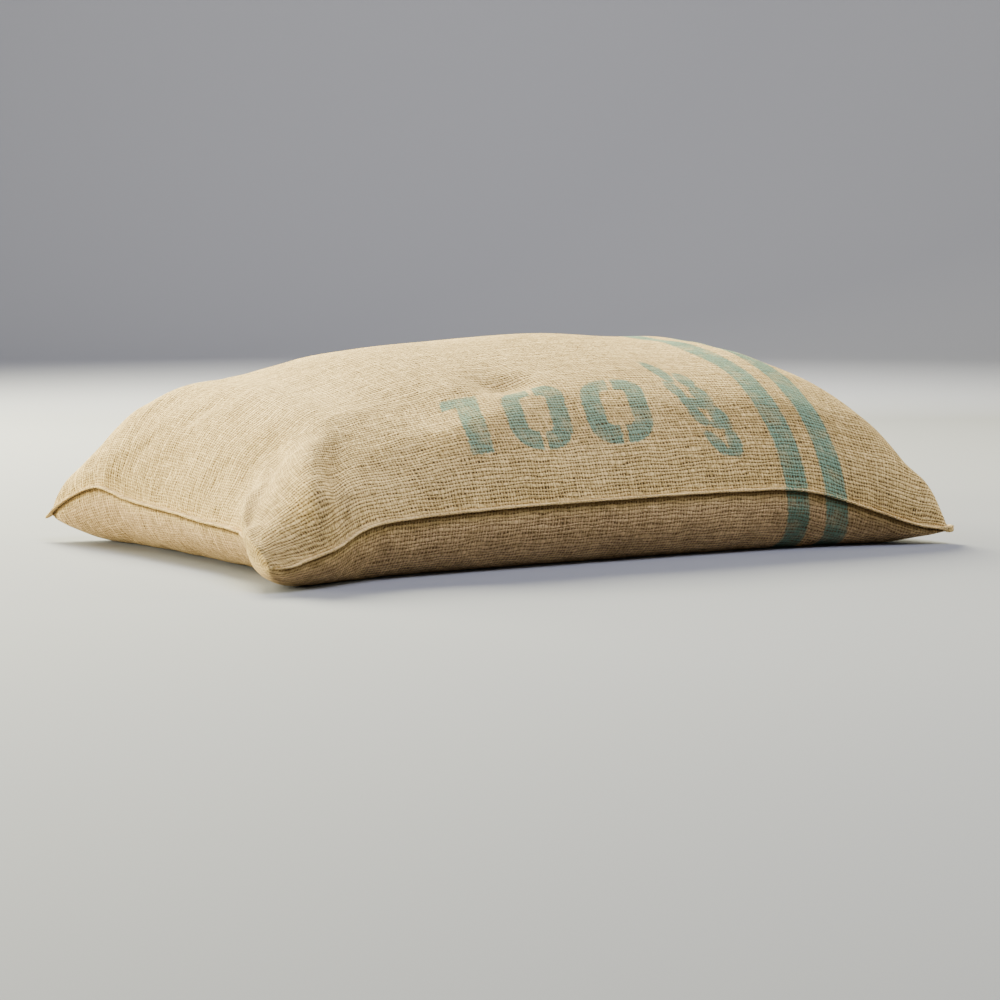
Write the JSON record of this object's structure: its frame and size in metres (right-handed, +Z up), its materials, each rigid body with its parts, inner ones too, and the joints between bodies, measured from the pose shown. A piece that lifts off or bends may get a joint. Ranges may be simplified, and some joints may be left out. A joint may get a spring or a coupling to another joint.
{
  "type": "burlap sack of grain",
  "caption": "Filled burlap sack lying flat, sewn shut round its edges: two jute panels swollen by grain into a pillow shape, with two printed stripes round it.",
  "frame": {"origin": "on the floor, under the middle of the sack's box", "axes": "+X along the sack from the end with the horn-shaped corner to the end with the stripes, +Y across it from the printed front side to the back, +Z up"},
  "size_m": [0.8884, 0.5798, 0.2356],
  "materials": {
    "jute_cloth": "plain-woven jute, matt, rough",
    "jute_edge": "two layers of plain-woven jute sewn together, matt, rough"
  },
  "bodies": {
    "root": {"filled_sack": "jute_cloth", "edge_seam": "jute_edge"}
  },
  "joints": []
}
